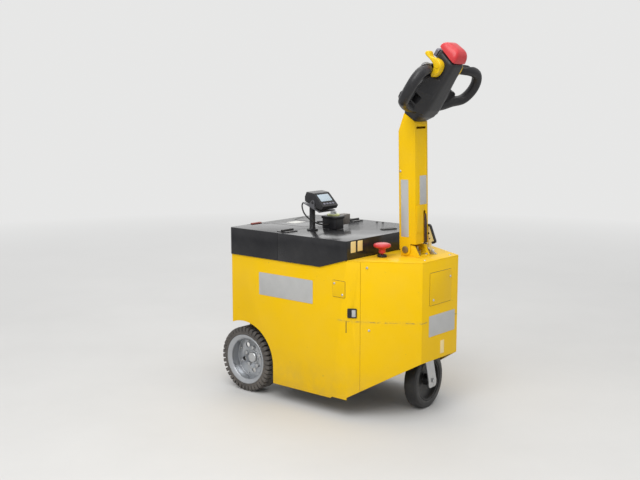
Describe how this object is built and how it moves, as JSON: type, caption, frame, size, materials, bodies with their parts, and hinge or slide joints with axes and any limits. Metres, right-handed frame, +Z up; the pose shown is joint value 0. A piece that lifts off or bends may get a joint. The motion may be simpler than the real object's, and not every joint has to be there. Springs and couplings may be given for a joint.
{
  "type": "walk behind electric tug",
  "caption": "Walk-behind electric tug: yellow sheet body under a hinged black lid, drive wheels and tow coupling in front, swivel castor behind, upright sprung tiller with loop-grip head.",
  "frame": {"origin": "on the floor under the middle of the bounding box", "axes": "+Z up, +X to the side with the display and the emergency stop, -Y towards the drive wheels and the coupling, +Y towards the operator at the tiller"},
  "size_m": [0.483, 0.9548, 1.266],
  "materials": {
    "yellow_paint": "semi-gloss yellow powder coat on folded sheet steel",
    "chassis_black": "satin black paint",
    "black_fittings": "satin black coated fittings",
    "lid_plastic": "glossy black moulded cover",
    "head_plastic": "fine-grained black moulding",
    "red_plastic": "smooth red moulding",
    "grey_plastic": "grey moulding",
    "throttle_plastic": "smooth yellow moulding",
    "zinc_plate": "zinc-plated steel",
    "cast_housing": "painted casting",
    "bare_aluminium": "bare ribbed aluminium",
    "tyre_rubber": "block-tread rubber",
    "castor_rubber": "smooth solid rubber",
    "castor_plastic": "black moulded wheel centre",
    "soft_rubber": "moulded rubber"
  },
  "bodies": {
    "base": {"rail_left": "chassis_black", "rail_right": "chassis_black", "front_crossmember": "chassis_black", "castor_bridge": "chassis_black", "battery_tray": "chassis_black", "side_panel_left": "yellow_paint", "side_panel_right": "yellow_paint", "front_panel": "yellow_paint", "nose_cover": "yellow_paint", "deck_plate": "yellow_paint", "side_hatch": "yellow_paint", "rear_hatch": "yellow_paint", "lid_rear": "lid_plastic", "hinge_fixed": "zinc_plate", "display_post": "black_fittings", "display_bracket": "zinc_plate", "key_pod": "head_plastic", "estop_base": "head_plastic", "tiller_bracket": "yellow_paint", "tiller_pin": "zinc_plate", "stop_rod": "zinc_plate", "lever_stand": "zinc_plate", "axle_housing": "cast_housing", "drive_motor": "chassis_black", "batteries": "grey_plastic", "controller": "bare_aluminium", "castor_plate": "zinc_plate", "castor_bolts": "zinc_plate", "hitch_rail": "yellow_paint", "hitch_bracket": "chassis_black", "hitch_bolts": "zinc_plate"},
    "wheel_left": {"tyre_left": "tyre_rubber", "rim_left": "zinc_plate", "wheel_bolts_left": "zinc_plate", "hub_left": "zinc_plate"},
    "wheel_right": {"tyre_right": "tyre_rubber", "rim_right": "zinc_plate", "wheel_bolts_right": "zinc_plate", "hub_right": "zinc_plate"},
    "castor_fork": {"castor_fork": "zinc_plate", "castor_axle": "zinc_plate"},
    "castor_wheel": {"castor_hub": "castor_plastic", "castor_tyre": "castor_rubber"},
    "tiller": {"tiller_column": "yellow_paint", "column_cover": "yellow_paint", "column_buffer": "soft_rubber", "head_upper": "head_plastic", "head_lower": "head_plastic"},
    "throttle": {"throttle": "throttle_plastic"},
    "belly_button": {"belly_button": "red_plastic"},
    "horn_button": {"horn_button": "grey_plastic"},
    "estop_button": {"estop_button": "red_plastic"},
    "lid": {"lid_front": "lid_plastic", "hinge_moving": "zinc_plate"},
    "display_unit": {"display_unit": "head_plastic"},
    "key_switch": {"key_switch": "zinc_plate"},
    "lever": {"brake_lever": "yellow_paint", "lever_grip": "soft_rubber"},
    "hitch_pin": {"hitch_pin": "zinc_plate"},
    "panel_latch": {"panel_latch": "black_fittings"}
  },
  "joints": [
    {"name": "wheel_left_spin", "type": "hinge", "parent": "base", "child": "wheel_left", "pos_m": [0.1935, -0.2894, 0.121], "axis": [1, 0, 0], "continuous": true},
    {"name": "wheel_right_spin", "type": "hinge", "parent": "base", "child": "wheel_right", "pos_m": [-0.1935, -0.2894, 0.121], "axis": [1, 0, 0], "continuous": true},
    {"name": "castor_swivel", "type": "hinge", "parent": "base", "child": "castor_fork", "pos_m": [0, 0.3216, 0.215], "axis": [0, 0, 1], "continuous": true},
    {"name": "castor_spin", "type": "hinge", "parent": "castor_fork", "child": "castor_wheel", "pos_m": [-0.04981, 0.31724, 0.1], "axis": [-0.0872, 0.9962, 0], "continuous": true},
    {"name": "tiller_tilt", "type": "hinge", "parent": "base", "child": "tiller", "pos_m": [0, 0.2936, 0.571], "axis": [-1, 0, 0], "range_deg": [0, 25], "stiffness_Nm_per_rad": 30, "springref_deg": -14.32},
    {"name": "throttle_twist", "type": "hinge", "parent": "tiller", "child": "throttle", "pos_m": [0, 0.43067, 1.18872], "axis": [1, 0, 0], "range_deg": [-10, 10], "stiffness_Nm_per_rad": 2},
    {"name": "belly_press", "type": "slide", "parent": "tiller", "child": "belly_button", "axis": [0, -0.5446, -0.8387], "range_m": [0, 0.005], "stiffness_N_per_m": 1000, "springref_m": -0.004},
    {"name": "horn_press", "type": "slide", "parent": "tiller", "child": "horn_button", "axis": [0, 0.8387, -0.5446], "range_m": [0, 0.0025], "stiffness_N_per_m": 600, "springref_m": -0.002},
    {"name": "estop_press", "type": "slide", "parent": "base", "child": "estop_button", "axis": [0, 0, -1], "range_m": [0, 0.005]},
    {"name": "lid_hinge", "type": "hinge", "parent": "base", "child": "lid", "pos_m": [0, -0.1124, 0.618], "axis": [-1, 0, 0], "range_deg": [0, 85]},
    {"name": "display_tilt", "type": "hinge", "parent": "base", "child": "display_unit", "pos_m": [0.103, -0.03049, 0.71749], "axis": [1, 0, 0], "range_deg": [-8, 8]},
    {"name": "key_turn", "type": "hinge", "parent": "base", "child": "key_switch", "pos_m": [0.022, -0.0384, 0.66], "axis": [0, 0, 1], "range_deg": [0, 90]},
    {"name": "lever_swing", "type": "hinge", "parent": "base", "child": "lever", "pos_m": [-0.05, 0.3346, 0.567], "axis": [-1, 0, 0], "range_deg": [0, 35]},
    {"name": "hitch_pin_lift", "type": "slide", "parent": "base", "child": "hitch_pin", "axis": [0, 0, 1], "range_m": [0, 0.055]},
    {"name": "panel_latch_turn", "type": "hinge", "parent": "base", "child": "panel_latch", "pos_m": [0.22776, 0.21392, 0.37], "axis": [0.8587, 0.5124, 0], "range_deg": [0, 90]}
  ]
}
